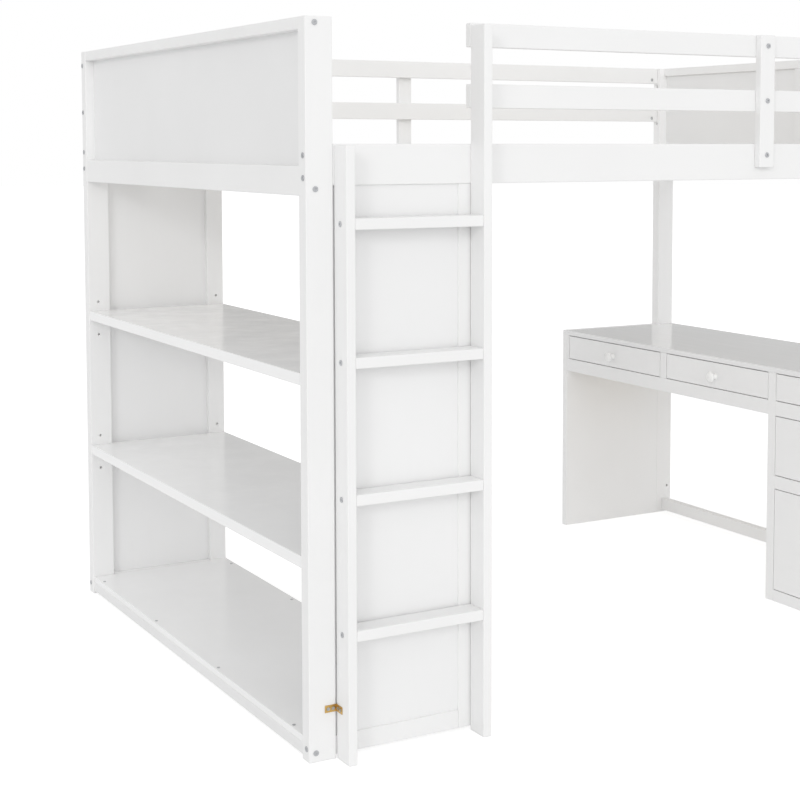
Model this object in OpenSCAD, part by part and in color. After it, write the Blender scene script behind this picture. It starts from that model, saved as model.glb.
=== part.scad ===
// Full-size loft bed with an end bookcase, a side ladder and a five-drawer desk.
// Millimetres. +X runs along the bed from the bookcase end to the desk end, +Y from the
// ladder side to the far side, +Z up. The origin is on the floor, below the middle of the box.

/* [Bed frame] */
// Length over the posts
bed_l = 2030; // [1980:5:2080]
// Width over the posts
bed_w = 1460; // [1440:5:1500]
// Height of the posts
bed_h = 1510; // [1480:5:1560]
// Post size along the bed
post_x = 60; // [50:1:70]
// Post size across the bed
post_y = 34; // [30:1:40]
// Top edge of the side rails
side_rail_top = 1258; // [1230:1:1270]
// Height of the side rails
side_rail_h = 83; // [70:1:95]
// Thickness of the side rails
side_rail_t = 25; // [22:1:28]

/* [Head and foot ends] */
// Thickness of the end rails along the bed
end_rail_t = 40; // [34:1:44]
// Height of the top cap rail
cap_rail_h = 25; // [20:1:32]
// Lower edge of the bottom end rail
end_rail_z = 1154; // [1130:1:1160]
// Height of the bottom end rail
end_rail_h = 60; // [50:1:70]
// How far the end panel is set back from the post faces
end_panel_inset = 23; // [15:1:26]
// Thickness of the end panels
end_panel_t = 10; // [6:1:12]
// Width of the batten behind each end panel
batten_w = 120; // [80:5:160]

/* [Guard rails] */
// Height of a guard rail
guard_h = 50; // [40:1:60]
// Thickness of a guard rail
guard_t = 20; // [18:1:22]
// Lower edge of the middle guard rail
guard_mid_z = 1333; // [1310:1:1350]
// Width of a guard post
guard_post_w = 43; // [35:1:50]
// Thickness of a guard post
guard_post_t = 19; // [16:1:22]
// Lower end of the guard posts
guard_post_z = 1203; // [1190:1:1210]
// Middle of the ladder-side guard post, from the bookcase end
guard_front_x = 1175; // [1100:5:1300]

/* [Ladder] */
// Gap between the corner post and the ladder
ladder_gap = 2; // [1:1:6]
// Width over the ladder stiles
ladder_w = 338; // [320:2:380]
// Thickness of a stile
stile_t = 20; // [18:1:24]
// Depth of a stile, out from the bed
stile_d = 56; // [50:1:65]
// Top of the short stile
stile_short_h = 1255; // [1220:1:1258]
// Top of the tall stile
stile_tall_h = 1505; // [1480:1:1510]
// Underside of the first rung
rung_z = 254; // [240:1:270]
// Rise from rung to rung
rung_step = 277.7; // [270:0.1:285]
// Thickness of a rung
rung_t = 23; // [20:1:26]

/* [Bookcase] */
// Depth of the bookcase along the bed
book_d = 400; // [380:5:420]
// Width of a side frame's stile
book_stile_w = 48; // [40:1:56]
// Thickness of a side frame
book_frame_t = 22; // [18:1:24]
// Thickness of a side frame's panel
book_panel_t = 4; // [3:1:8]
// How far that panel sits behind the frame's outer face
book_panel_inset = 4; // [2:1:8]
// Height of the side frame's bottom rail
book_rail_h = 40; // [36:1:60]
// Clearance below the side frames
foot_gap = 8; // [5:1:12]
// Thickness of the shelves
shelf_t = 25; // [18:1:28]
// Top of the lower shelf
shelf_low = 421; // [380:1:440]
// Top of the upper shelf
shelf_high = 796; // [760:1:820]
// Thickness of the bottom board
base_t = 15; // [12:1:18]
// Top of the bottom board
base_top = 48; // [44:1:56]

/* [Desk] */
// Depth of the desk from the desk end of the bed
desk_d = 433; // [400:1:460]
// Height of the desk top
desk_h = 648; // [630:1:660]
// Thickness of the desk top
desk_t = 15; // [12:1:18]
// Thickness of the desk's end panels
desk_end_t = 22; // [18:1:25]
// Thickness of the face strips and drawer fronts
face_t = 18; // [15:1:20]
// Width of the face strip between two drawers
face_w = 30; // [24:1:34]
// Width of the filler strip beside an end panel
filler_w = 14; // [10:1:18]
// Middle of the strip between the second and third drawers
strip_near = 428; // [420:1:440]
// Middle of the strip between the first and second drawers
strip_far = 912; // [900:1:925]
// Lower edge of the front rail under the top drawers
apron_z = 516; // [505:1:520]
// Height of that rail
apron_h = 40; // [34:1:44]
// Thickness of the upright boards inside the desk
board_t = 18; // [15:1:20]

/* [Drawers] */
// Gap round a drawer front
drawer_gap = 2; // [1.5:0.5:4]
// Depth of a drawer box
drawer_box_d = 340; // [300:5:350]
// Thickness of the drawer box boards
box_t = 12; // [10:1:14]
// Diameter of a knob
knob_d = 32; // [26:1:36]
// How far a knob stands out
knob_out = 26; // [20:1:30]

/* [Mattress support] */
// Number of slats
slat_n = 14; // [12:1:16]
// Width of a slat
slat_w = 70; // [60:1:80]
// Thickness of a slat
slat_t = 15; // [12:1:18]
// Top face of the slats
slat_top = 1222; // [1215:1:1230]

/* [Fasteners] */
// Radius of a connector bolt's shank
bolt_r = 3; // [2.5:0.5:4]
// Radius of a connector bolt's head
bolt_head_r = 6; // [5:0.5:7]
// Height of a connector bolt's head
bolt_head_h = 1.5; // [1:0.25:2]
// Radius of a wood screw's shank
screw_r = 1.9; // [1.5:0.1:2.2]
// Radius of a wood screw's head
screw_head_r = 3.6; // [3:0.1:4]
// Height of a wood screw's head
screw_head_h = 1.2; // [0.8:0.1:1.6]
// Radius of a knob's stud
stud_r = 2; // [1.5:0.1:2.5]

/* [Hidden] */
$fn = 32;
WHITE = [0.95, 0.95, 0.94];
WHITE_EDGE = [0.90, 0.90, 0.89];
PINE = [0.86, 0.74, 0.55];
STEEL = [0.62, 0.63, 0.65];
BRASS = [0.80, 0.62, 0.32];

// Clearance round a shank or a nut in its hole
hole_gap = 0.3;
// How far a cutting shape runs past a face
eps = 1;
// Joint line between two boards that butt together in one group
seam = 0.2;

// The box of the whole object, which sets the origin
y_min = -stile_d;
y_max = bed_w + guard_post_t + bolt_head_h;
y_mid = (y_min + y_max) / 2;

side_rail_z = side_rail_top - side_rail_h;
inner_y0 = post_y;
inner_y1 = bed_w - post_y;
right_post_x = bed_l - post_x;
guard_top_z = bed_h - guard_h;
end_rail_x = 1;
cap_rail_z = bed_h - cap_rail_h;
ladder_x0 = post_x + ladder_gap;
ladder_x1 = ladder_x0 + ladder_w;
stile_right_x = ladder_x1 - stile_t;
rung_n = 4;
guard_back_x = bed_l / 2;

frame_y0 = 2;
base_z = base_top - base_t;
kick_x0 = 2;
kick_t = 25;
kick_z = foot_gap;
pin_r = 3;
pin_len = 22;
pin_depth = 10;
// Where the pins stand along the bed, and the spare holes' heights from the pin in use
pin_x_post = 27;
pin_x_stile = 378;
PIN_ROWS = [0, -38, 53];

desk_x0 = bed_l - desk_d;
desk_under = desk_h - desk_t;
apron_top = apron_z + apron_h;
end_far_y0 = inner_y1;
end_far_y1 = inner_y1 + desk_end_t;
end_near_y0 = inner_y0 - desk_end_t;
board_x0 = desk_x0 + face_t;
board_x1 = right_post_x;
foot_rail_x = 1992;
foot_rail_t = 22;
foot_rail_h = 39;
ped_base_h = 32;
ped_rail_z = 314;
ped_rail_h = 36;
back_rail_t = 18;

// The five drawer openings: [low y, high y, low z, high z]
far_y = [strip_far + face_w / 2, inner_y1 - filler_w];
mid_y = [strip_near + face_w / 2, strip_far - face_w / 2];
near_y = [inner_y0 + filler_w, strip_near - face_w / 2];
top_z = [apron_top, desk_under];
OPENINGS = [
    [far_y[0], far_y[1], top_z[0], top_z[1]],
    [mid_y[0], mid_y[1], top_z[0], top_z[1]],
    [near_y[0], near_y[1], top_z[0], top_z[1]],
    [near_y[0], near_y[1], ped_rail_z + ped_rail_h, apron_z],
    [near_y[0], near_y[1], ped_base_h, ped_rail_z]
];
// The upright faces that carry each drawer's runners: [low y, high y]
far_board_y = [strip_far + board_t / 2, inner_y1];
mid_board_y = [strip_near + board_t / 2, strip_far - board_t / 2];
near_board_y = [inner_y0, strip_near - board_t / 2];
RUNNER_FACES = [far_board_y, mid_board_y, near_board_y, near_board_y, near_board_y];
// Room between a drawer box and its opening: at each side, below and above
box_side_gap = 12;
box_under_gap = 5;
box_over_gap = 8;
// Play between a drawer box and its runner and guide bars
box_slip = 0.4;
runner_h = 18;
guide_h = 20;

// Bolts along Y through a post into an end rail: [x, z]
LEFT_Y_BOLTS = [[21, bed_h - 12.5], [21, 1168], [15, 20]];
RIGHT_Y_BOLTS = [[bed_l - 21, bed_h - 12.5], [bed_l - 21, 1168], [foot_rail_x + 11, 27]];
// Heights of the bolts along X through a post into a side rail and into the guard rails
SIDE_BOLT_Z = [1190, 1235];
GUARD_BOLT_Z = [guard_mid_z + 11, guard_top_z + 12];
book_bolt_z = 27;
book_bolt_y = frame_y0 + book_frame_t / 2;
// How far past the post a bolt runs, and where its barrel nut sits
bolt_reach = 36;
nut_reach = 22;
nut_r = 5;
nut_len = 14;

// ---------------------------------------------------------------- helpers

// Moves the working frame (front left corner of the posts at zero) to the part's own origin
module placed() translate([-bed_l / 2, -y_mid, 0]) children();

// A board between two corners
module board(lo, hi) translate(lo) cube(hi - lo);

// Repeats the children at the front, and mirrored at the back of the bed
module front_and_back() {
    children();
    translate([0, bed_w, 0]) mirror([0, 1, 0]) children();
}

// Repeats the children at the bookcase end, and mirrored at the desk end
module left_and_right() {
    children();
    translate([bed_l, 0, 0]) mirror([1, 0, 0]) children();
}

module along_x() rotate([0, 90, 0]) children();
module along_y() rotate([-90, 0, 0]) children();

// A connector bolt along +Z with its head below zero, and a hex socket in the head
module connector_bolt(len) {
    socket_r = bolt_head_r * 0.42;
    socket_depth = bolt_head_h * 0.8;
    difference() {
        union() {
            cylinder(r = bolt_r, h = len);
            translate([0, 0, -bolt_head_h]) cylinder(r = bolt_head_r, h = bolt_head_h);
        }
        translate([0, 0, -bolt_head_h - eps]) cylinder(r = socket_r, h = socket_depth + eps, $fn = 6);
    }
}

// The hole that a connector bolt needs
module bolt_hole(len) translate([0, 0, -eps]) cylinder(r = bolt_r + hole_gap, h = len + eps + 1);

// A barrel nut along Z, centred, with its cross hole along X
module barrel_nut() difference() {
    cylinder(r = nut_r, h = nut_len, center = true);
    along_x() cylinder(r = bolt_r + 0.05, h = 3 * nut_r, center = true);
}

// ---------------------------------------------------------------- drilling plans

// Every place of a bolt along Y at the front posts, for one end's list
module y_bolt_places(list) for (p = list) translate([p[0], 0, p[1]]) along_y() children();

// Every place of a bolt along X at the bookcase end; front tells which side's posts
module x_bolt_places(front) {
    for (z = SIDE_BOLT_Z) translate([0, side_rail_t / 2, z]) along_x() children();
    if (!front) for (z = GUARD_BOLT_Z) translate([0, guard_t / 2, z]) along_x() children();
}

module book_bolt_place() translate([0, book_bolt_y, book_bolt_z]) along_x() children();

// All bolt shapes of a kind, at their places on the whole bed. Child 0 is the Y bolt,
// child 1 the X bolt.
module all_bolt_places() {
    front_and_back() y_bolt_places(LEFT_Y_BOLTS) children(0);
    front_and_back() y_bolt_places(RIGHT_Y_BOLTS) children(0);
    left_and_right() x_bolt_places(true) children(1);
    translate([0, bed_w, 0]) mirror([0, 1, 0]) left_and_right() x_bolt_places(false) children(1);
    for (z = GUARD_BOLT_Z) translate([bed_l, guard_t / 2, z]) mirror([1, 0, 0]) along_x() children(1);
    front_and_back() book_bolt_place() children(1);
}

y_bolt_len = post_y + bolt_reach;
x_bolt_len = post_x + bolt_reach;

module left_y_holes() front_and_back() y_bolt_places(LEFT_Y_BOLTS) bolt_hole(y_bolt_len);
module right_y_holes() front_and_back() y_bolt_places(RIGHT_Y_BOLTS) bolt_hole(y_bolt_len);
module side_holes() left_and_right()
    for (z = SIDE_BOLT_Z) translate([0, side_rail_t / 2, z]) along_x() bolt_hole(x_bolt_len);
module guard_holes_left()
    for (z = GUARD_BOLT_Z) translate([0, guard_t / 2, z]) along_x() bolt_hole(x_bolt_len);
module guard_holes_right() translate([bed_l, 0, 0]) mirror([1, 0, 0]) guard_holes_left();

// Holes for barrel nuts in the rails between the end posts, entered from below
module end_nut_holes(list) front_and_back() for (p = list)
    translate([p[0], post_y + nut_reach, p[1] + nut_len / 2 + hole_gap]) mirror([0, 0, 1])
        cylinder(r = nut_r + hole_gap, h = 2 * nut_len);

// Holes for barrel nuts in a side rail or a guard rail, entered from the bed side
module rail_nut_holes(y, zs, deep) for (z = zs)
    translate([post_x + nut_reach, y - nut_len / 2 - hole_gap, z]) along_y()
        cylinder(r = nut_r + hole_gap, h = deep);

// ---------------------------------------------------------------- posts

// A corner post of the bookcase end, on the ladder side
module left_post() difference() {
    board([0, 0, 0], [post_x, post_y, bed_h]);
    y_bolt_places(LEFT_Y_BOLTS) bolt_hole(y_bolt_len);
    x_bolt_places(true) bolt_hole(x_bolt_len);
    book_bolt_place() bolt_hole(x_bolt_len);
    pin_holes(pin_x_post, post_y);
}

// Blind holes for shelf pins, in the bookcase-side face at y
module pin_holes(x, y) for (top = [shelf_low, shelf_high], dz = PIN_ROWS)
    translate([x, y - pin_depth, top - shelf_t - pin_r + dz]) along_y()
        cylinder(r = pin_r + 0.1, h = pin_depth + eps);

module post_front_left() color(WHITE) placed() difference() {
    left_post();
    bracket_screw_places() screw_hole(13);
}

module post_back_left() color(WHITE) placed() translate([0, bed_w, 0]) mirror([0, 1, 0]) difference() {
    left_post();
    guard_holes_left();
}

// A corner post of the desk end, without its side holes
module right_post() difference() {
    board([right_post_x, 0, 0], [bed_l, post_y, bed_h]);
    y_bolt_places(RIGHT_Y_BOLTS) bolt_hole(y_bolt_len);
    translate([bed_l, 0, 0]) mirror([1, 0, 0]) x_bolt_places(false) bolt_hole(x_bolt_len);
    // Spare holes: one for a shelf connector, and two under the guard rails
    translate([bed_l - 15, post_y - 12, 88]) along_y() cylinder(r = 4, h = 12 + eps);
    for (z = [guard_mid_z - 7, guard_top_z - 10])
        translate([right_post_x - eps, post_y / 2, z]) along_x() cylinder(r = 5, h = 12 + eps);
}

module post_front_right() color(WHITE) placed() right_post();
module post_back_right() color(WHITE) placed() translate([0, bed_w, 0]) mirror([0, 1, 0]) right_post();

// ---------------------------------------------------------------- head and foot ends

// The cap rail and the bottom rail of the bookcase end, with a groove for the panel
module end_rails() difference() {
    union() {
        board([end_rail_x, inner_y0, cap_rail_z], [end_rail_x + end_rail_t, inner_y1, bed_h]);
        board([end_rail_x, inner_y0, end_rail_z],
              [end_rail_x + end_rail_t, inner_y1, end_rail_z + end_rail_h]);
    }
    end_nut_holes([LEFT_Y_BOLTS[0], LEFT_Y_BOLTS[1]]);
    left_y_holes();
}

module end_panel() board([end_panel_inset, inner_y0, end_rail_z + end_rail_h],
                         [end_panel_inset + end_panel_t, inner_y1, cap_rail_z]);

// The batten that stiffens an end panel on the bed side
module batten() board([end_panel_inset + end_panel_t, bed_w / 2 - batten_w / 2, end_rail_z + end_rail_h],
                      [end_rail_x + end_rail_t, bed_w / 2 + batten_w / 2, cap_rail_z]);

module headboard_rails() color(WHITE) placed() end_rails();
module headboard_panel() color(WHITE_EDGE) placed() end_panel();
module footboard_rails() color(WHITE) placed() translate([bed_l, 0, 0]) mirror([1, 0, 0]) end_rails();
module footboard_panel() color(WHITE_EDGE) placed() translate([bed_l, 0, 0]) mirror([1, 0, 0]) end_panel();
module end_panel_battens() color(WHITE) placed() left_and_right() batten();

// ---------------------------------------------------------------- side rails and slats

ledger_s = 25;
ledger_top = slat_top - slat_t;
beam_t = 30;
beam_z = end_rail_z + 3;
slat_inset = 3;
deck_x0 = end_rail_x + end_rail_t;

// A side rail whose guard post stands at x
module side_rail(x) difference() {
    board([post_x, 0, side_rail_z], [right_post_x, side_rail_t, side_rail_top]);
    side_holes();
    left_and_right() rail_nut_holes(side_rail_t / 2, SIDE_BOLT_Z, side_rail_t);
    guard_post_holes(x);
}

module side_rail_front() color(WHITE) placed() difference() {
    side_rail(guard_front_x);
    ladder_side_holes();
}
module side_rail_back() color(WHITE) placed()
    translate([0, bed_w, 0]) mirror([0, 1, 0]) side_rail(guard_back_x);

// The strips that carry the slats, notched clear of the barrel nut holes by their height
module slat_ledgers() color(PINE) placed() front_and_back()
    board([post_x + 45, side_rail_t, ledger_top - ledger_s],
          [right_post_x - 45, side_rail_t + ledger_s, ledger_top]);

module centre_beam() color(PINE) placed()
    board([deck_x0, bed_w / 2 - beam_t / 2, beam_z], [bed_l - deck_x0, bed_w / 2 + beam_t / 2, ledger_top]);

module slats() color(PINE) placed() {
    first = post_x + 50;
    last = right_post_x - 50 - slat_w;
    for (i = [0 : slat_n - 1]) {
        x = first + (last - first) * i / (slat_n - 1);
        board([x, side_rail_t + slat_inset, ledger_top],
              [x + slat_w, bed_w - side_rail_t - slat_inset, slat_top]);
    }
}

// ---------------------------------------------------------------- guard rails

module guard_rail(x0, z) board([x0, 0, z], [right_post_x, guard_t, z + guard_h]);

// Holes for the bolts that hold a guard post, centred at x
module guard_post_holes(x) for (z = [side_rail_z + 57, guard_mid_z + guard_h / 2, guard_top_z + guard_h / 2])
    translate([x, -guard_post_t, z]) along_y() bolt_hole(guard_post_t + 16);

module guard_front_rails() color(WHITE) placed() difference() {
    for (z = [guard_mid_z, guard_top_z]) guard_rail(stile_right_x, z);
    guard_holes_right();
    translate([bed_l, 0, 0]) mirror([1, 0, 0]) rail_nut_holes(guard_t / 2, GUARD_BOLT_Z, guard_t);
    guard_post_holes(guard_front_x);
    ladder_guard_holes();
}

module guard_back_rails() color(WHITE) placed() translate([0, bed_w, 0]) mirror([0, 1, 0]) difference() {
    for (z = [guard_mid_z, guard_top_z]) guard_rail(post_x, z);
    guard_holes_left();
    guard_holes_right();
    left_and_right() rail_nut_holes(guard_t / 2, GUARD_BOLT_Z, guard_t);
    guard_post_holes(guard_back_x);
}

module guard_post(x) difference() {
    board([x - guard_post_w / 2, -guard_post_t, guard_post_z], [x + guard_post_w / 2, 0, bed_h]);
    guard_post_holes(x);
}

module guard_front_post() color(WHITE) placed() guard_post(guard_front_x);
module guard_back_post() color(WHITE) placed()
    translate([0, bed_w, 0]) mirror([0, 1, 0]) guard_post(guard_back_x);

// ---------------------------------------------------------------- ladder

rung_bolt_len = stile_t + 30;

// Places of the rung bolts on the left stile's outer face
module rung_bolt_places() for (i = [0 : rung_n - 1])
    translate([ladder_x0, -stile_d / 2, rung_z + i * rung_step + rung_t / 2]) along_x() children();

// The same at both stiles
module both_rung_bolt_places() {
    rung_bolt_places() children();
    translate([ladder_x0 + ladder_x1, 0, 0]) mirror([1, 0, 0]) rung_bolt_places() children();
}

// Bolts from the bed side that hold the tall stile to the guard rails
module ladder_guard_places() for (z = [guard_mid_z + guard_h / 2, guard_top_z + guard_h / 2])
    translate([stile_right_x + stile_t / 2, guard_t, z]) rotate([90, 0, 0]) children();
module ladder_guard_holes() ladder_guard_places() bolt_hole(guard_t + 25);

// Bolts from the bed side that hold both stiles to the side rail
module ladder_side_places() for (x = [ladder_x0 + stile_t / 2, stile_right_x + stile_t / 2])
    translate([x, side_rail_t, side_rail_z + 52]) rotate([90, 0, 0]) children();
module ladder_side_holes() ladder_side_places() bolt_hole(side_rail_t + 25);

module ladder_stile(x, top) difference() {
    board([x, -stile_d, 0], [x + stile_t, 0, top]);
    both_rung_bolt_places() bolt_hole(rung_bolt_len);
    ladder_guard_holes();
    ladder_side_holes();
    bracket_screw_places() screw_hole(13);
}

module ladder_left_stile() color(WHITE) placed() ladder_stile(ladder_x0, stile_short_h);
module ladder_right_stile() color(WHITE) placed() ladder_stile(stile_right_x, stile_tall_h);

module ladder_rungs() color(WHITE) placed() difference() {
    for (i = [0 : rung_n - 1])
        board([ladder_x0 + stile_t, -stile_d + 1, rung_z + i * rung_step],
              [stile_right_x, -1, rung_z + i * rung_step + rung_t]);
    both_rung_bolt_places() bolt_hole(rung_bolt_len);
}

// The corner bracket between the front post and the short stile
bracket_z = 100;
bracket_h = 15;
bracket_leg = 27;
bracket_t = 1.5;

module ladder_bracket() color(BRASS) placed() difference() {
    union() {
        board([ladder_x0 - bracket_leg, -bracket_t, bracket_z], [ladder_x0, 0, bracket_z + bracket_h]);
        board([ladder_x0 - bracket_t, -bracket_leg, bracket_z], [ladder_x0, -bracket_t, bracket_z + bracket_h]);
    }
    bracket_screw_places() screw_hole(3);
}

// Screw places on the bracket, with +Z into the wood
module bracket_screw_places() {
    for (x = [ladder_x0 - 20, ladder_x0 - 9])
        translate([x, -bracket_t, bracket_z + bracket_h / 2]) along_y() children();
    for (y = [-20, -9])
        translate([ladder_x0 - bracket_t, y, bracket_z + bracket_h / 2]) along_x() children();
}

// ---------------------------------------------------------------- bookcase

frame_y1 = frame_y0 + book_frame_t;
frame_x1 = book_d;
stile2_x = frame_x1 - book_stile_w;
panel_y0 = frame_y0 + book_panel_inset;

// A stile and a bottom rail below the side rail, on the ladder side
module side_frame() difference() {
    union() {
        board([stile2_x, frame_y0, foot_gap], [frame_x1, frame_y1, side_rail_z]);
        board([post_x, frame_y0, foot_gap], [stile2_x - seam, frame_y1, foot_gap + book_rail_h]);
    }
    book_bolt_place() bolt_hole(x_bolt_len);
    translate([post_x + nut_reach, book_bolt_y - nut_len / 2 - hole_gap, book_bolt_z]) along_y()
        cylinder(r = nut_r + hole_gap, h = book_frame_t);
    pin_holes(pin_x_stile, frame_y1);
}

module side_panel() board([post_x, panel_y0, foot_gap + book_rail_h],
                          [stile2_x, panel_y0 + book_panel_t, side_rail_z]);

module bookcase_front_frame() color(WHITE) placed() side_frame();
module bookcase_front_panel() color(WHITE_EDGE) placed() side_panel();
module bookcase_back_frame() color(WHITE) placed() translate([0, bed_w, 0]) mirror([0, 1, 0]) side_frame();
module bookcase_back_panel() color(WHITE_EDGE) placed() translate([0, bed_w, 0]) mirror([0, 1, 0]) side_panel();

// A shelf or board between the bookcase's ends, notched round the posts, with a little play
shelf_play = 0.5;
module shelf_board(x0, z0, t) {
    board([x0, inner_y0 + shelf_play, z0], [frame_x1, inner_y1 - shelf_play, z0 + t]);
    board([post_x + shelf_play, frame_y1 + shelf_play, z0],
          [frame_x1, bed_w - frame_y1 - shelf_play, z0 + t]);
}

// Screws that hold the bottom board to the kick rails, with +Z down into the wood
base_screw_n = 4;
module base_screw_places() for (x = [kick_x0 + 9, frame_x1 - 13], i = [0 : base_screw_n - 1])
    translate([x, inner_y0 + 65 + i * (inner_y1 - inner_y0 - 130) / (base_screw_n - 1), base_top])
        mirror([0, 0, 1]) children();
module screw_hole(len) translate([0, 0, -eps]) cylinder(r = screw_r + hole_gap, h = len + eps);

module bookcase_bottom_board() color(WHITE) placed() difference() {
    shelf_board(kick_x0, base_z, base_t);
    base_screw_places() screw_hole(base_t + 20);
}

module bookcase_kick_rails() color(WHITE) placed() difference() {
    union() {
        board([kick_x0, inner_y0 + shelf_play, kick_z],
              [kick_x0 + kick_t, inner_y1 - shelf_play, base_z]);
        board([frame_x1 - kick_t, frame_y1 + shelf_play, kick_z],
              [frame_x1, bed_w - frame_y1 - shelf_play, base_z]);
    }
    left_y_holes();
    end_nut_holes([LEFT_Y_BOLTS[2]]);
    base_screw_places() screw_hole(base_t + 20);
}

module bookcase_lower_shelf() color(WHITE) placed() shelf_board(1, shelf_low - shelf_t, shelf_t);
module bookcase_upper_shelf() color(WHITE) placed() shelf_board(1, shelf_high - shelf_t, shelf_t);

module shelf_pins() color(STEEL) placed() front_and_back() for (top = [shelf_low, shelf_high]) {
    z = top - shelf_t - pin_r;
    translate([pin_x_post, post_y - pin_depth + 1, z]) along_y() cylinder(r = pin_r, h = pin_len);
    translate([pin_x_stile, frame_y1 - pin_depth + 1, z]) along_y() cylinder(r = pin_r, h = pin_len + 10);
}

// ---------------------------------------------------------------- desk

module desk_top() color(WHITE) placed() board([desk_x0, inner_y0, desk_under], [bed_l, inner_y1, desk_h]);

module desk_end_panel_back() color(WHITE) placed()
    board([desk_x0, end_far_y0, 0], [right_post_x, end_far_y1, desk_h]);
module desk_end_panel_front() color(WHITE) placed()
    board([desk_x0, end_near_y0, 0], [right_post_x, inner_y0, desk_h]);

// The board between the first two drawers, and the pedestal's side
module desk_partitions() color(WHITE) placed() {
    board([board_x0, strip_far - board_t / 2, apron_z], [board_x1, strip_far + board_t / 2, desk_under]);
    board([board_x0, strip_near - board_t / 2, 0], [board_x1, strip_near + board_t / 2, desk_under]);
}

// A face strip in the front plane, between two heights
module face_strip(y0, y1, z0, z1) board([desk_x0, y0, z0], [desk_x0 + face_t, y1, z1]);

// A face rail between two uprights, with a joint line at both ends
module face_rail(y0, y1, z0, z1) face_strip(y0 + seam, y1 - seam, z0, z1);

// The strips round the drawers: two between drawers, two fillers, and three rails
module desk_face_frame() color(WHITE) placed() {
    face_strip(far_y[1], inner_y1, apron_top + seam, desk_under);
    face_strip(mid_y[1], far_y[0], apron_top + seam, desk_under);
    face_strip(near_y[1], mid_y[0], 0, desk_under);
    face_strip(inner_y0, near_y[0], 0, desk_under);
    face_rail(mid_y[0], inner_y1 + seam, apron_z, apron_top);
    face_rail(near_y[0], near_y[1], apron_z, apron_top);
    face_rail(near_y[0], near_y[1], ped_rail_z, ped_rail_z + ped_rail_h);
    face_rail(near_y[0], near_y[1], 0, ped_base_h);
}

// The rail behind the drawers, between the desk end posts, under the desk top
module desk_back_rail() color(WHITE) placed()
    board([right_post_x + 10, inner_y0, apron_top], [right_post_x + 10 + back_rail_t, inner_y1, desk_under]);

// The pedestal's back, between its side and the end panel
module pedestal_back_panel() color(WHITE) placed()
    board([board_x1 - 8, inner_y0, 10], [board_x1, strip_near - board_t / 2, apron_top]);

// The low rail between the desk end posts
module desk_foot_rail() color(WHITE) placed() difference() {
    board([foot_rail_x, inner_y0, kick_z], [foot_rail_x + foot_rail_t, inner_y1, kick_z + foot_rail_h]);
    right_y_holes();
    end_nut_holes([RIGHT_Y_BOLTS[2]]);
}

// A runner bar under one side of a drawer box, and the guide bar that stands on it beside
// the box. side is 1 where the box lies towards +Y of the upright face, and -1 where it
// lies towards -Y; beside is the room between the face and the box.
module runner(y, side, beside, z) {
    x0 = board_x0 + 2;
    x1 = x0 + drawer_box_d - 10;
    reach = beside + box_t;
    guide_w = beside - box_slip;
    y_runner = min(y, y + side * reach);
    y_guide = min(y, y + side * guide_w);
    board([x0, y_runner, z - runner_h], [x1, y_runner + reach, z]);
    board([x0, y_guide, z + seam], [x1, y_guide + guide_w, z + guide_h]);
}

module drawer_runners() color(PINE) placed() for (i = [0 : len(OPENINGS) - 1]) {
    o = OPENINGS[i];
    f = RUNNER_FACES[i];
    z = o[2] + box_under_gap - box_slip;
    runner(f[0], 1, o[0] - f[0] + box_side_gap, z);
    runner(f[1], -1, f[1] - o[1] + box_side_gap, z);
}

// ---------------------------------------------------------------- drawers

function mid_of(a, b) = (a + b) / 2;
// Knobs on the shallow drawers sit a little below the middle of the opening
function knob_z(o) = mid_of(o[2], o[3]) - 3;

module knob_place(o) translate([desk_x0, mid_of(o[0], o[1]), knob_z(o)]) rotate([0, -90, 0]) children();

module drawer_front(o) difference() {
    board([desk_x0, o[0] + drawer_gap, o[2] + drawer_gap],
          [desk_x0 + face_t, o[1] - drawer_gap, o[3] - drawer_gap]);
    knob_place(o) translate([0, 0, -face_t - eps]) cylinder(r = stud_r + hole_gap, h = face_t + 2 * eps);
}

// Two sides, a front wall, a back wall and a bottom, open at the top
module drawer_box(o) {
    x0 = desk_x0 + face_t;
    x1 = x0 + drawer_box_d;
    y0 = o[0] + box_side_gap;
    y1 = o[1] - box_side_gap;
    z0 = o[2] + box_under_gap;
    z1 = min(o[3] - box_over_gap, z0 + 180);
    bottom_t = 6;
    wall_y0 = y0 + box_t + seam;
    wall_y1 = y1 - box_t - seam;
    board([x0, y0, z0], [x1, y0 + box_t, z1]);
    board([x0, y1 - box_t, z0], [x1, y1, z1]);
    board([x1 - box_t, wall_y0, z0], [x1, wall_y1, z1]);
    board([x0 + box_t + seam, wall_y0, z0], [x1 - box_t - seam, wall_y1, z0 + bottom_t]);
    difference() {
        board([x0, wall_y0, z0], [x0 + box_t, wall_y1, z1]);
        knob_place(o) translate([0, 0, -face_t - box_t - eps]) cylinder(r = 2 * stud_r, h = box_t + 2 * eps);
    }
}

// A turned mushroom knob on its stud, with a dimple in its face
module knob(o) knob_place(o) difference() {
    union() {
        rotate_extrude() polygon([
            [0, 0], [knob_d * 0.30, 0], [knob_d * 0.24, knob_out * 0.12],
            [knob_d * 0.19, knob_out * 0.34], [knob_d * 0.22, knob_out * 0.46],
            [knob_d * 0.40, knob_out * 0.56], [knob_d * 0.49, knob_out * 0.68],
            [knob_d * 0.50, knob_out * 0.76], [knob_d * 0.46, knob_out * 0.87],
            [knob_d * 0.34, knob_out * 0.96], [knob_d * 0.15, knob_out], [0, knob_out]
        ]);
        translate([0, 0, -face_t - box_t / 2]) cylinder(r = stud_r, h = face_t + box_t / 2 + eps);
    }
    translate([0, 0, knob_out - 1.5]) cylinder(r = 2, h = 1.5 + eps);
}

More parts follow.
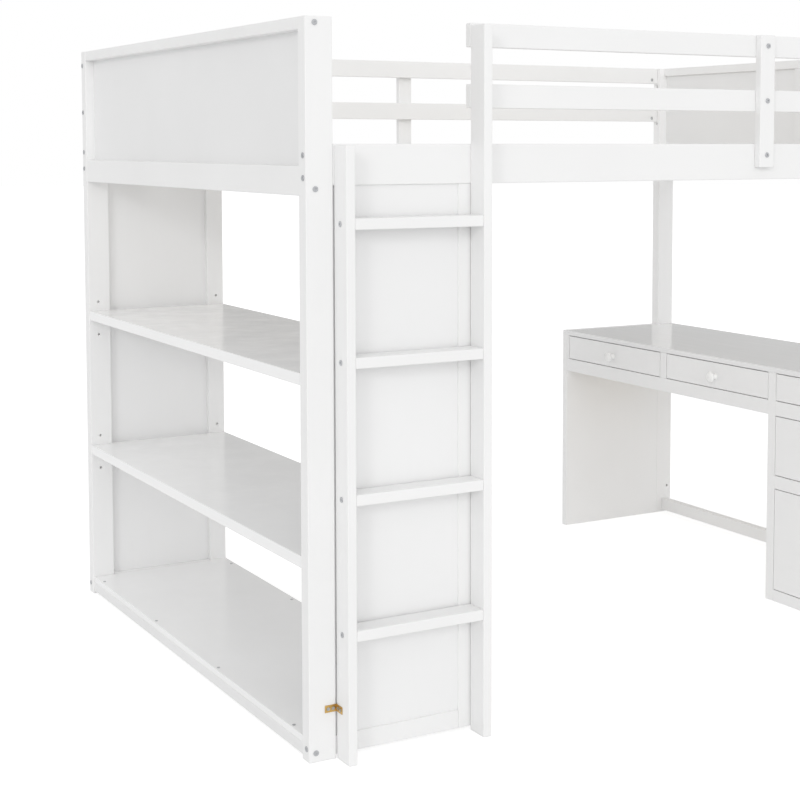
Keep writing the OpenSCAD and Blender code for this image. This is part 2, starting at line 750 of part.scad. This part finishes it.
module drawer_1_front() color(WHITE) placed() drawer_front(OPENINGS[0]);
module drawer_1_box() color(PINE) placed() drawer_box(OPENINGS[0]);
module drawer_1_knob() color(WHITE) placed() knob(OPENINGS[0]);
module drawer_2_front() color(WHITE) placed() drawer_front(OPENINGS[1]);
module drawer_2_box() color(PINE) placed() drawer_box(OPENINGS[1]);
module drawer_2_knob() color(WHITE) placed() knob(OPENINGS[1]);
module drawer_3_front() color(WHITE) placed() drawer_front(OPENINGS[2]);
module drawer_3_box() color(PINE) placed() drawer_box(OPENINGS[2]);
module drawer_3_knob() color(WHITE) placed() knob(OPENINGS[2]);
module drawer_4_front() color(WHITE) placed() drawer_front(OPENINGS[3]);
module drawer_4_box() color(PINE) placed() drawer_box(OPENINGS[3]);
module drawer_4_knob() color(WHITE) placed() knob(OPENINGS[3]);
module drawer_5_front() color(WHITE) placed() drawer_front(OPENINGS[4]);
module drawer_5_box() color(PINE) placed() drawer_box(OPENINGS[4]);
module drawer_5_knob() color(WHITE) placed() knob(OPENINGS[4]);

// ---------------------------------------------------------------- fasteners

module frame_bolts() color(STEEL) placed() all_bolt_places() {
    connector_bolt(y_bolt_len);
    connector_bolt(x_bolt_len);
}

// Nuts across the bolts: along Z on the Y bolts, and along Y on the X bolts
module barrel_nuts() color(STEEL) placed() all_bolt_places() {
    translate([0, 0, post_y + nut_reach]) rotate([90, 0, 0]) rotate([0, 0, 90]) barrel_nut();
    translate([0, 0, post_x + nut_reach]) rotate([90, 0, 0]) rotate([0, 0, 90]) barrel_nut();
}

// Button-head bolts of the rungs, the guard posts and the tall stile
module ladder_guard_bolts() color(STEEL) placed() {
    both_rung_bolt_places() connector_bolt(rung_bolt_len);
    ladder_guard_places() connector_bolt(guard_t + 24);
    ladder_side_places() connector_bolt(side_rail_t + 24);
    guard_bolts(guard_front_x);
    translate([0, bed_w, 0]) mirror([0, 1, 0]) guard_bolts(guard_back_x);
}

module guard_bolts(x) for (z = [side_rail_z + 57, guard_mid_z + guard_h / 2, guard_top_z + guard_h / 2])
    translate([x, -guard_post_t, z]) along_y() connector_bolt(guard_post_t + 15);

// A pan-head screw along +Z with its head below zero
module wood_screw(len) {
    translate([0, 0, -screw_head_h]) cylinder(r = screw_head_r, h = screw_head_h);
    cylinder(r = screw_r, h = len);
}

module wood_screws() color(STEEL) placed() {
    base_screw_places() wood_screw(base_t + 19);
    bracket_screw_places() wood_screw(12);
}

// ---------------------------------------------------------------- parts

post_front_left();
post_back_left();
post_front_right();
post_back_right();
headboard_rails();
headboard_panel();
footboard_rails();
footboard_panel();
end_panel_battens();
side_rail_front();
side_rail_back();
slat_ledgers();
centre_beam();
slats();
guard_front_rails();
guard_front_post();
guard_back_rails();
guard_back_post();
ladder_left_stile();
ladder_right_stile();
ladder_rungs();
ladder_bracket();
bookcase_front_frame();
bookcase_front_panel();
bookcase_back_frame();
bookcase_back_panel();
bookcase_bottom_board();
bookcase_kick_rails();
bookcase_lower_shelf();
bookcase_upper_shelf();
shelf_pins();
desk_top();
desk_end_panel_back();
desk_end_panel_front();
desk_partitions();
desk_face_frame();
desk_back_rail();
pedestal_back_panel();
desk_foot_rail();
drawer_runners();
frame_bolts();
barrel_nuts();
ladder_guard_bolts();
wood_screws();
drawer_1_front();
drawer_1_box();
drawer_1_knob();
drawer_2_front();
drawer_2_box();
drawer_2_knob();
drawer_3_front();
drawer_3_box();
drawer_3_knob();
drawer_4_front();
drawer_4_box();
drawer_4_knob();
drawer_5_front();
drawer_5_box();
drawer_5_knob();
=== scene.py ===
import math

import bmesh
import bpy
from mathutils import Matrix, Vector


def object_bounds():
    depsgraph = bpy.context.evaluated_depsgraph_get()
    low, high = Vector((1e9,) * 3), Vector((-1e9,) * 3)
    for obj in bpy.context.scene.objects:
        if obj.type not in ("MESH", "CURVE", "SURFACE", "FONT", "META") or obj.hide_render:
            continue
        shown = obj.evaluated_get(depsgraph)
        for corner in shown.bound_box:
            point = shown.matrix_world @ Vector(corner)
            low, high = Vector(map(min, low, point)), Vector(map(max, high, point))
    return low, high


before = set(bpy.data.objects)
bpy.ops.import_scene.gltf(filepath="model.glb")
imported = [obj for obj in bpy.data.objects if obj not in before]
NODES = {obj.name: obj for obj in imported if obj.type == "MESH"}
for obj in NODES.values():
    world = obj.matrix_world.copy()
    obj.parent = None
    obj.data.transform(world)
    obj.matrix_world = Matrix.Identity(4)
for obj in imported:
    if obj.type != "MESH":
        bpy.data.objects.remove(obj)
CAD_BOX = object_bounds()
SCENE = bpy.context.scene
DRAWERS = range(1, 6)

# The camera: lens in mm, place in metres, turn and tilt in degrees
LENS = 71.63
SHIFT = (-0.06875, -0.1775)
CAMERA_PLACE = (-2.3466, -3.5867, 1.2572)
CAMERA_TURN = -30.213
CAMERA_TILT = -4.090

# The room as a light: the direction of its front, the level there and at the sides, and the
# level straight behind, which rises until a direction's part along ROOM_FRONT is ROOM_DIM_END
ROOM_FRONT = (-0.30, -0.95, 0.0)
ROOM_FRONT_LEVEL = 0.875
ROOM_BACK_LEVEL = 0.42
ROOM_DIM_END = -0.35

# How brightly the floor glows on the object, and for the camera
FLOOR_GLOW = 0.31
FLOOR_GLOW_SEEN = 0.66
# The floor's radius, and how far it lies below the feet, in metres
FLOOR_RADIUS = 45.0
FLOOR_DROP = 0.0003

# Paint colours: one white paint, with lighter and darker copies of it that paint in light and shade
WHITE = (0.885, 0.885, 0.883)
# A lighter copy of the white: painted light on parts that lie in shade under the deck
SHADE_LIFTED_WHITE = (0.93, 0.93, 0.93)
# A darker copy of the white: painted shade on the end panels, their battens and the kick rails
SHADE_DARKENED_WHITE = (0.845, 0.845, 0.845)
BOOK_PANEL = (0.88, 0.88, 0.88)
# A lighter copy of the white: painted light on the bookcase's bottom board and shelves, which lie in shade
# inside it
SHADE_LIFTED_SHELF = (0.94, 0.94, 0.94)
# A lighter copy of the white: painted light on the desk's face frame, rails and drawer fronts, which lie in
# shade under the deck
DESK = (0.915, 0.915, 0.915)
DESK_TOP = (0.885, 0.885, 0.888)
KNOB = (0.93, 0.93, 0.925)

# Wood and metal colours
BARE_PINE = (0.82, 0.80, 0.765)
BOX_PINE = (0.80, 0.70, 0.55)
BRASS = (0.72, 0.47, 0.16)
NICKEL = (0.60, 0.61, 0.63)
ZINC = (0.56, 0.57, 0.58)

# Scale of a texture along each axis, for grain that runs along one of them
STRETCH = {
    "x": (0.06, 1.0, 1.0),
    "y": (1.0, 0.06, 1.0),
    "z": (1.0, 1.0, 0.06),
}
KNOT_STRETCH = {
    "x": (0.45, 1.0, 1.0),
    "y": (1.0, 0.45, 1.0),
    "z": (1.0, 1.0, 0.45),
}

# Edges that bend less than this look smooth, and edges that bend more than the other are rounded
SMOOTH_UNDER = math.radians(12.5)
ROUND_OVER = math.radians(50)
# Neighbouring faces flatter than this to each other join, and points closer than this weld
JOIN_UNDER = math.radians(0.5)
WELD_UNDER = 0.00002


# ---------------------------------------------------------------- camera and light

def make_camera():
    data = bpy.data.cameras.new("camera")
    data.lens = LENS
    data.sensor_width = 36.0
    data.shift_x, data.shift_y = SHIFT
    data.clip_start = 0.05
    data.clip_end = 200.0
    cam = bpy.data.objects.new("camera", data)
    cam.location = CAMERA_PLACE
    cam.rotation_euler = (math.radians(90 + CAMERA_TILT), 0.0, math.radians(CAMERA_TURN))
    SCENE.collection.objects.link(cam)
    SCENE.camera = cam


def make_world():
    """A white room for the camera; as a light it is dimmer straight behind the object."""
    world = bpy.data.worlds.new("studio")
    world.use_nodes = True
    nt = world.node_tree
    nt.nodes.clear()
    out = nt.nodes.new("ShaderNodeOutputWorld")
    mix = nt.nodes.new("ShaderNodeMixShader")
    path = nt.nodes.new("ShaderNodeLightPath")
    soft = nt.nodes.new("ShaderNodeBackground")
    seen = nt.nodes.new("ShaderNodeBackground")
    coord = nt.nodes.new("ShaderNodeTexCoord")
    facing = nt.nodes.new("ShaderNodeVectorMath")
    level = nt.nodes.new("ShaderNodeMapRange")
    facing.operation = "DOT_PRODUCT"
    facing.inputs[1].default_value = ROOM_FRONT
    level.inputs["From Min"].default_value = -1.0
    level.inputs["From Max"].default_value = ROOM_DIM_END
    level.inputs["To Min"].default_value = ROOM_BACK_LEVEL
    level.inputs["To Max"].default_value = ROOM_FRONT_LEVEL
    nt.links.new(coord.outputs["Generated"], facing.inputs[0])
    nt.links.new(facing.outputs["Value"], level.inputs["Value"])
    nt.links.new(level.outputs["Result"], soft.inputs["Strength"])
    for background in (soft, seen):
        background.inputs["Color"].default_value = (1.0, 1.0, 1.0, 1.0)
    seen.inputs["Strength"].default_value = 1.0
    nt.links.new(path.outputs["Is Camera Ray"], mix.inputs["Fac"])
    nt.links.new(soft.outputs[0], mix.inputs[1])
    nt.links.new(seen.outputs[0], mix.inputs[2])
    nt.links.new(mix.outputs[0], out.inputs["Surface"])
    SCENE.world = world


def sun(name, toward, strength, angle):
    """A sun that shines toward a direction, with its disc's angle in degrees."""
    data = bpy.data.lights.new(name, "SUN")
    data.energy = strength
    data.angle = math.radians(angle)
    obj = bpy.data.objects.new(name, data)
    obj.rotation_mode = "QUATERNION"
    obj.rotation_quaternion = Vector(toward).to_track_quat("-Z", "Y")
    SCENE.collection.objects.link(obj)


def make_lights():
    sun("front", (0.22, 1.0, -0.18), 0.48, 40)
    sun("side", (1.0, 0.90, -0.47), 0.34, 12)
    SCENE.view_settings.view_transform = "Standard"


# ---------------------------------------------------------------- node helpers

class Graph:
    """A material's node tree, with short calls for the nodes that the finishes use."""

    def __init__(self, name):
        self.material = bpy.data.materials.new(name)
        self.material.use_nodes = True
        self.tree = self.material.node_tree
        self.tree.nodes.clear()
        self.shader = self.node("ShaderNodeBsdfPrincipled")
        out = self.node("ShaderNodeOutputMaterial")
        self.link(self.shader.outputs["BSDF"], out.inputs["Surface"])
        coord = self.node("ShaderNodeTexCoord")
        self.place = coord.outputs["Object"]

    def node(self, kind):
        return self.tree.nodes.new(kind)

    def link(self, a, b):
        self.tree.links.new(a, b)

    def mapped(self, scale, location=(0, 0, 0)):
        m = self.node("ShaderNodeMapping")
        m.inputs["Scale"].default_value = scale
        m.inputs["Location"].default_value = location
        self.link(self.place, m.inputs["Vector"])
        return m.outputs["Vector"]

    def noise(self, vector, scale, detail=3.0, rough=0.5, distort=0.0):
        n = self.node("ShaderNodeTexNoise")
        n.inputs["Scale"].default_value = scale
        n.inputs["Detail"].default_value = detail
        n.inputs["Roughness"].default_value = rough
        n.inputs["Distortion"].default_value = distort
        self.link(vector, n.inputs["Vector"])
        return n.outputs["Fac"]

    def span(self, value, lo, hi, to_lo, to_hi):
        r = self.node("ShaderNodeMapRange")
        r.inputs["From Min"].default_value = lo
        r.inputs["From Max"].default_value = hi
        r.inputs["To Min"].default_value = to_lo
        r.inputs["To Max"].default_value = to_hi
        self.link(value, r.inputs["Value"])
        return r.outputs["Result"]

    def math(self, op, a, b):
        m = self.node("ShaderNodeMath")
        m.operation = op
        for socket, value in zip(m.inputs, (a, b)):
            if isinstance(value, (int, float)):
                socket.default_value = value
            else:
                self.link(value, socket)
        return m.outputs[0]

    def mix(self, fac, a, b):
        m = self.node("ShaderNodeMix")
        m.data_type = "RGBA"
        for socket, value in ((m.inputs[0], fac), (m.inputs[6], a), (m.inputs[7], b)):
            if isinstance(value, (int, float)):
                socket.default_value = value
            elif isinstance(value, tuple):
                socket.default_value = (*value, 1.0)
            else:
                self.link(value, socket)
        return m.outputs[2]

    def bump(self, height, strength, distance, under=None):
        b = self.node("ShaderNodeBump")
        b.inputs["Strength"].default_value = strength
        b.inputs["Distance"].default_value = distance
        self.link(height, b.inputs["Height"])
        if under is not None:
            self.link(under, b.inputs["Normal"])
        return b.outputs["Normal"]

    def edge_mask(self, radius):
        """1 on the outer edges of boards and 0 on their flats, from a rounded normal."""
        bevel = self.node("ShaderNodeBevel")
        bevel.samples = 4
        bevel.inputs["Radius"].default_value = radius
        geo = self.node("ShaderNodeNewGeometry")
        dot = self.node("ShaderNodeVectorMath")
        dot.operation = "DOT_PRODUCT"
        self.link(bevel.outputs["Normal"], dot.inputs[0])
        self.link(geo.outputs["True Normal"], dot.inputs[1])
        return self.span(dot.outputs["Value"], 0.995, 0.90, 0.0, 1.0)

    def shade_and_tarnish_mask(self, distance):
        """1 deep in a corner and 0 on open faces, from ambient occlusion: painted shade in the paint and the
        pine, tarnish in the metal.
        """
        ao = self.node("ShaderNodeAmbientOcclusion")
        ao.samples = 4
        ao.inputs["Distance"].default_value = distance
        return self.span(ao.outputs["AO"], 0.75, 0.25, 0.0, 1.0)


def scaled(colour, factor):
    return tuple(c * factor for c in colour)


def tinted(colour, tint):
    return tuple(c * t for c, t in zip(colour, tint))


PAINTS = {}


def paint(base, axis, roughness, grain=0.10):
    """Satin white paint over wood whose grain runs along axis. The same finish is made once.

    The roughness varies by -0.05 to +0.06, and a range that crosses 0.27 shows as patches.
    """
    key = (base, axis, roughness, grain)
    if key in PAINTS:
        return PAINTS[key]
    g = Graph("paint_%s_%d" % (axis, len(PAINTS)))
    along = g.mapped(STRETCH[axis])
    blotch = g.noise(g.place, 2.6, 3.0)
    fibre = g.noise(along, 420.0, 4.0, 0.6, 0.3)
    band = g.noise(along, 38.0, 3.0, 0.55, 0.6)
    peel = g.noise(g.place, 1500.0, 2.0)
    colour = g.mix(g.span(blotch, 0.3, 0.7, 0.0, 1.0), scaled(base, 0.978), scaled(base, 1.012))
    colour = g.mix(g.span(band, 0.35, 0.75, 0.0, 0.35), colour, scaled(base, 0.985))
    edge = g.edge_mask(0.0016)
    worn = g.math("MULTIPLY", edge, g.span(g.noise(g.place, 24.0, 5.0, 0.65), 0.42, 0.62, 0.15, 1.0))
    colour = g.mix(g.math("MULTIPLY", worn, 0.35), colour, tinted(base, (0.93, 0.915, 0.885)))
    # Painted shade: the paint's colour darkens deep in corners
    colour = g.mix(g.math("MULTIPLY", g.shade_and_tarnish_mask(0.014), 0.05), colour, scaled(base, 0.45))
    g.link(colour, g.shader.inputs["Base Color"])
    rough = g.span(g.noise(g.place, 9.0, 4.0, 0.6), 0.3, 0.7, roughness - 0.05, roughness + 0.06)
    g.link(g.math("ADD", rough, g.math("MULTIPLY", worn, 0.06)), g.shader.inputs["Roughness"])
    n = g.bump(band, grain * 1.6, 0.0010)
    n = g.bump(fibre, grain, 0.0004, n)
    n = g.bump(peel, 0.04, 0.00012, n)
    g.link(n, g.shader.inputs["Normal"])
    g.shader.inputs["IOR"].default_value = 1.48
    PAINTS[key] = g.material
    return g.material


def lacquer(base, axis, roughness):
    """Sprayed semi-gloss lacquer: even in colour, with a faint orange peel and hairline wear."""
    g = Graph("lacquer_%s" % axis)
    cloud = g.noise(g.place, 2.2, 2.0)
    colour = g.mix(g.span(cloud, 0.3, 0.7, 0.0, 1.0), scaled(base, 0.985), scaled(base, 1.01))
    edge = g.edge_mask(0.0014)
    worn = g.math("MULTIPLY", edge, g.span(g.noise(g.place, 30.0, 5.0, 0.65), 0.42, 0.62, 0.1, 1.0))
    colour = g.mix(g.math("MULTIPLY", worn, 0.25), colour, scaled(base, 0.90))
    g.link(colour, g.shader.inputs["Base Color"])
    scuff = g.noise(g.mapped(STRETCH[axis]), 60.0, 4.0, 0.6)
    g.link(g.span(scuff, 0.35, 0.75, roughness, roughness + 0.03), g.shader.inputs["Roughness"])
    peel = g.noise(g.place, 240.0, 2.0)
    g.link(g.bump(peel, 0.05, 0.00010), g.shader.inputs["Normal"])
    g.shader.inputs["IOR"].default_value = 1.50
    return g.material


def pine(name, base, axis, roughness):
    """Planed softwood: growth bands stretched along the grain, fine fibres, and a few knots."""
    g = Graph(name)
    along = g.mapped(STRETCH[axis])
    warp = g.noise(along, 9.0, 3.0, 0.5, 0.8)
    rings = g.node("ShaderNodeTexWave")
    rings.wave_type = "BANDS"
    rings.bands_direction = "DIAGONAL"
    rings.inputs["Scale"].default_value = 34.0
    rings.inputs["Distortion"].default_value = 7.0
    rings.inputs["Detail"].default_value = 3.0
    rings.inputs["Detail Scale"].default_value = 1.2
    g.link(along, rings.inputs["Vector"])
    fibre = g.noise(along, 700.0, 5.0, 0.65)
    early = scaled(base, 1.04)
    late = tinted(base, (0.86, 0.80, 0.71))
    colour = g.mix(g.span(rings.outputs["Fac"], 0.35, 1.0, 0.0, 0.75), early, late)
    colour = g.mix(g.span(warp, 0.3, 0.7, 0.0, 0.35), colour, scaled(base, 0.90))
    colour = g.mix(g.span(fibre, 0.3, 0.8, 0.0, 0.22), colour, late)
    knots = g.node("ShaderNodeTexVoronoi")
    knots.inputs["Scale"].default_value = 2.3
    g.link(g.mapped(KNOT_STRETCH[axis], (0.3, 0.7, 0.1)), knots.inputs["Vector"])
    knot = g.span(knots.outputs["Distance"], 0.045, 0.018, 0.0, 1.0)
    colour = g.mix(knot, colour, tinted(base, (0.45, 0.30, 0.18)))
    edge = g.edge_mask(0.0018)
    colour = g.mix(g.math("MULTIPLY", edge, 0.25), colour, early)
    # Painted shade: the wood's colour darkens deep in corners
    colour = g.mix(g.math("MULTIPLY", g.shade_and_tarnish_mask(0.015), 0.25), colour, scaled(late, 0.5))
    g.link(colour, g.shader.inputs["Base Color"])
    g.link(g.span(rings.outputs["Fac"], 0.0, 1.0, roughness + 0.07, roughness - 0.05),
           g.shader.inputs["Roughness"])
    n = g.bump(rings.outputs["Fac"], 0.16, 0.0006)
    n = g.bump(fibre, 0.20, 0.0004, n)
    g.link(n, g.shader.inputs["Normal"])
    return g.material


def metal(name, base, roughness):
    """Plated metal with fine polishing marks and a little tarnish in its corners."""
    g = Graph(name)
    cloud = g.noise(g.place, 160.0, 4.0, 0.6)
    fine = g.noise(g.place, 2600.0, 3.0, 0.6)
    colour = g.mix(g.span(cloud, 0.3, 0.75, 0.0, 1.0), scaled(base, 1.05), scaled(base, 0.86))
    colour = g.mix(g.math("MULTIPLY", g.shade_and_tarnish_mask(0.004), 0.6), colour, scaled(base, 0.35))
    g.link(colour, g.shader.inputs["Base Color"])
    g.shader.inputs["Metallic"].default_value = 1.0
    g.link(g.span(cloud, 0.3, 0.7, roughness, roughness + 0.15), g.shader.inputs["Roughness"])
    g.link(g.bump(fine, 0.15, 0.00008), g.shader.inputs["Normal"])
    return g.material


def floor_material():
    """A pale floor that the camera sees as white, and that lights the object a little less."""
    g = Graph("floor")
    soft = g.noise(g.place, 1.4, 3.0)
    g.link(g.mix(g.span(soft, 0.3, 0.7, 0.0, 1.0), (0.54, 0.54, 0.54), (0.56, 0.56, 0.56)),
           g.shader.inputs["Base Color"])
    g.shader.inputs["Roughness"].default_value = 0.9
    g.shader.inputs["Specular IOR Level"].default_value = 0.0
    g.shader.inputs["Emission Color"].default_value = (1.0, 1.0, 1.0, 1.0)
    path = g.node("ShaderNodeLightPath")
    g.link(g.span(path.outputs["Is Camera Ray"], 0.0, 1.0, FLOOR_GLOW, FLOOR_GLOW_SEEN),
           g.shader.inputs["Emission Strength"])
    return g.material


def make_floor():
    mesh = bpy.data.meshes.new("floor")
    bm = bmesh.new()
    bmesh.ops.create_circle(bm, cap_ends=True, cap_tris=False, segments=96, radius=FLOOR_RADIUS)
    bmesh.ops.transform(bm, matrix=Matrix.Translation((0, 0, CAD_BOX[0].z - FLOOR_DROP)), verts=bm.verts)
    bm.to_mesh(mesh)
    bm.free()
    obj = bpy.data.objects.new("floor", mesh)
    mesh.materials.append(floor_material())
    SCENE.collection.objects.link(obj)


# ---------------------------------------------------------------- finishing the CAD nodes

def shade_by_angle(limit):
    """A modifier's node group: flats stay flat, and only edges under the limit look smooth."""
    group = bpy.data.node_groups.new("shade_by_angle", "GeometryNodeTree")
    group.interface.new_socket("Geometry", in_out="INPUT", socket_type="NodeSocketGeometry")
    group.interface.new_socket("Geometry", in_out="OUTPUT", socket_type="NodeSocketGeometry")
    start = group.nodes.new("NodeGroupInput")
    end = group.nodes.new("NodeGroupOutput")
    plain = group.nodes.new("GeometryNodeRemoveAttribute")
    plain.inputs["Name"].default_value = "custom_normal"
    faces = group.nodes.new("GeometryNodeSetShadeSmooth")
    faces.domain = "FACE"
    faces.inputs["Shade Smooth"].default_value = True
    edges = group.nodes.new("GeometryNodeSetShadeSmooth")
    edges.domain = "EDGE"
    angle = group.nodes.new("GeometryNodeInputMeshEdgeAngle")
    under = group.nodes.new("FunctionNodeCompare")
    under.operation = "LESS_THAN"
    under.inputs[1].default_value = limit
    link = group.links.new
    link(angle.outputs["Unsigned Angle"], under.inputs[0])
    link(under.outputs[0], edges.inputs["Shade Smooth"])
    link(start.outputs[0], plain.inputs["Geometry"])
    link(plain.outputs[0], faces.inputs["Geometry"])
    link(faces.outputs[0], edges.inputs["Geometry"])
    link(edges.outputs[0], end.inputs[0])
    return group


FLAT_SHADING = shade_by_angle(SMOOTH_UNDER)


def soften(obj, width, segments=2):
    """Rounds the arrises of a CAD node's boards with modifiers."""
    weld = obj.modifiers.new("weld", "WELD")
    weld.merge_threshold = WELD_UNDER
    flat = obj.modifiers.new("flat", "DECIMATE")
    flat.decimate_type = "DISSOLVE"
    flat.angle_limit = JOIN_UNDER
    bevel = obj.modifiers.new("arris", "BEVEL")
    bevel.limit_method = "ANGLE"
    bevel.angle_limit = ROUND_OVER
    bevel.width = width
    bevel.segments = segments
    bevel.use_clamp_overlap = False
    bevel.miter_outer = "MITER_ARC"
    bevel.loop_slide = False
    shading = obj.modifiers.new("shading", "NODES")
    shading.node_group = FLAT_SHADING


def dress(names, material, width=0.0, segments=2):
    """Gives CAD nodes a material, and rounds their arrises where a width is given, in metres."""
    for name in names:
        obj = NODES[name]
        obj.data.materials.clear()
        obj.data.materials.append(material)
        if width:
            soften(obj, width, segments)


def dress_frame():
    dress(["post_front_left", "post_back_left", "post_front_right"], paint(WHITE, "z", 0.42), 0.0016)
    # The back-right post takes the lighter copy of the white: painted light, as it stands in shade under the
    # deck
    dress(["post_back_right"], paint(SHADE_LIFTED_WHITE, "z", 0.42), 0.0016)
    dress(["headboard_rails", "footboard_rails"], paint(WHITE, "y", 0.42), 0.0016)
    # The end panels and their battens take the darker copy of the white: painted shade
    dress(["headboard_panel", "footboard_panel"], paint(SHADE_DARKENED_WHITE, "y", 0.48, grain=0.05))
    dress(["end_panel_battens"], paint(SHADE_DARKENED_WHITE, "z", 0.46), 0.0010)
    dress(["side_rail_front", "side_rail_back", "guard_front_rails", "guard_back_rails"],
          paint(WHITE, "x", 0.42), 0.0018)
    dress(["guard_front_post", "guard_back_post"], paint(WHITE, "z", 0.42), 0.0018)
    dress(["slats"], pine("slat_pine", BARE_PINE, "y", 0.55), 0.0014)
    dress(["slat_ledgers", "centre_beam", "drawer_runners"], pine("rail_pine", BARE_PINE, "x", 0.55), 0.0010)


def dress_ladder():
    dress(["ladder_left_stile", "ladder_right_stile"], paint(WHITE, "z", 0.42), 0.0022, 3)
    dress(["ladder_rungs"], paint(WHITE, "x", 0.42), 0.0022, 3)
    dress(["ladder_bracket"], metal("brass", BRASS, 0.22), 0.0003)


def dress_bookcase():
    dress(["bookcase_front_frame", "bookcase_back_frame"], paint(WHITE, "z", 0.42), 0.0012)
    dress(["bookcase_front_panel", "bookcase_back_panel"], paint(BOOK_PANEL, "z", 0.48, grain=0.05))
    # The bottom board and shelves take a lighter copy of the white: painted light
    dress(["bookcase_bottom_board", "bookcase_lower_shelf", "bookcase_upper_shelf"],
          paint(SHADE_LIFTED_SHELF, "y", 0.17, grain=0.012), 0.0012)
    # The kick rails take the darker copy of the white: painted shade
    dress(["bookcase_kick_rails"], paint(SHADE_DARKENED_WHITE, "y", 0.44), 0.0010)


def dress_desk():
    dress(["desk_top"], lacquer(DESK_TOP, "y", 0.13), 0.0014, 3)
    # The desk's end panels, partitions and pedestal back take the lighter copy of the white: painted light
    # on parts in shade under the deck
    dress(["desk_end_panel_back", "desk_end_panel_front", "desk_partitions", "pedestal_back_panel"],
          paint(SHADE_LIFTED_WHITE, "z", 0.42, grain=0.07), 0.0010)
    # The face frame, rails and drawer fronts take a lighter copy of the white: painted light
    dress(["desk_face_frame", "desk_back_rail", "desk_foot_rail"], paint(DESK, "y", 0.42), 0.0008)
    dress(["drawer_%d_front" % i for i in DRAWERS], paint(DESK, "y", 0.38, grain=0.07), 0.0012)
    dress(["drawer_%d_box" % i for i in DRAWERS], pine("drawer_pine", BOX_PINE, "x", 0.42), 0.0008)
    dress(["drawer_%d_knob" % i for i in DRAWERS], lacquer(KNOB, "x", 0.16))


def dress_fasteners():
    dress(["frame_bolts", "ladder_guard_bolts"], metal("nickel", NICKEL, 0.24), 0.0003)
    dress(["barrel_nuts", "shelf_pins", "wood_screws"], metal("zinc", ZINC, 0.34))


make_camera()
make_world()
make_lights()
make_floor()
dress_frame()
dress_ladder()
dress_bookcase()
dress_desk()
dress_fasteners()

bpy.context.view_layer.update()
